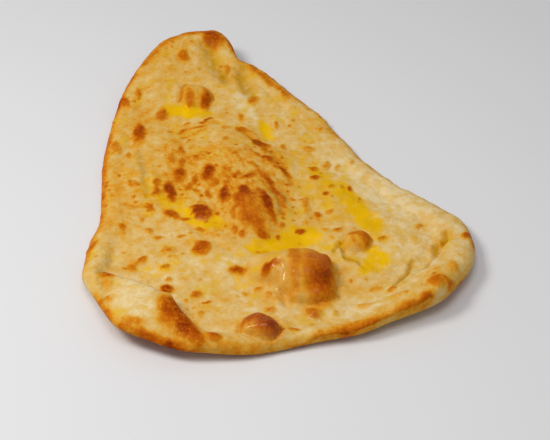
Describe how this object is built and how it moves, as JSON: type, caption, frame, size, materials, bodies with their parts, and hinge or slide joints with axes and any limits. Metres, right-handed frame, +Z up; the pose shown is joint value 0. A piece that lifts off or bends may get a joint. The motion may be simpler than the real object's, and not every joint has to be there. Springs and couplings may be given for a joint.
{
  "type": "naan bread",
  "caption": "Large teardrop-shaped flatbread, thin in the middle, with blown bubbles, a folded corner and an upturned edge, lying on its flat underside.",
  "frame": {"origin": "centre of the bounding box at its lowest face, on the surface that the bread lies on", "axes": "+Y from the broad end towards the pointed tip, +Z up from the flat underside, +X towards the upturned corner"},
  "size_m": [0.2302, 0.3154, 0.0208],
  "materials": {
    "baked_dough": "baked crust, pale cream to golden, with brown scorch spots and a gloss where butter was brushed on"
  },
  "bodies": {
    "root": {"naan_bread": "baked_dough"}
  },
  "joints": []
}
